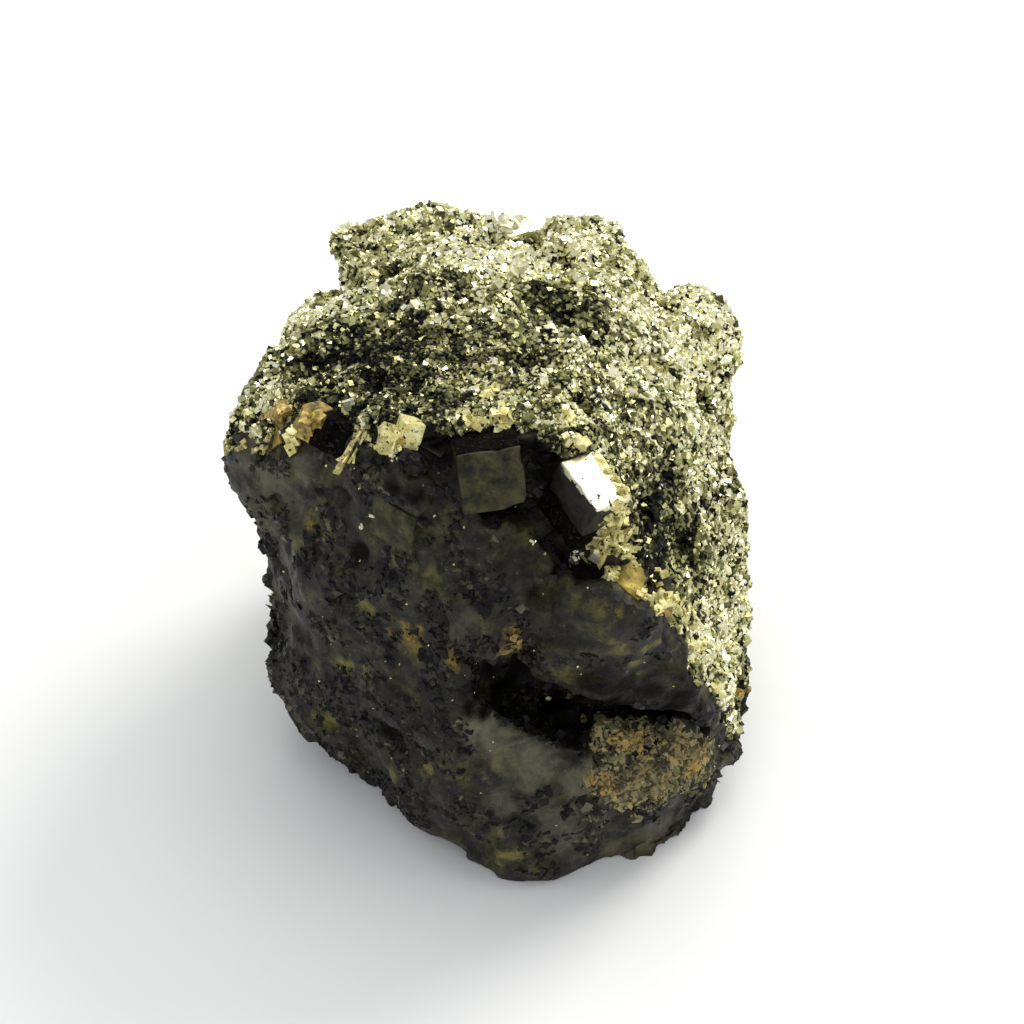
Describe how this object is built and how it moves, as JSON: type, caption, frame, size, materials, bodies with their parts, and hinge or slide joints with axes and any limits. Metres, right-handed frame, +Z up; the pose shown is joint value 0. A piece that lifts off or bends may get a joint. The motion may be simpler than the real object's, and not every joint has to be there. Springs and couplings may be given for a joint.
{
  "type": "pyrite specimen",
  "caption": "Broken lump of intergrown pyrite with a granular brassy crystal cap, a dark fractured front with cube faces and a stepped ledge, resting on a flat base.",
  "frame": {"origin": "on the resting plane, under the middle of the lump's box", "axes": "+Z up from the resting face, +X to the lump's right as pictured, -Y towards the dark fractured front"},
  "size_m": [0.0322, 0.0364, 0.0295],
  "materials": {
    "pyrite": "granular brassy crystal over dark tarnished fracture"
  },
  "bodies": {
    "root": {"pyrite_lump": "pyrite"}
  },
  "joints": []
}
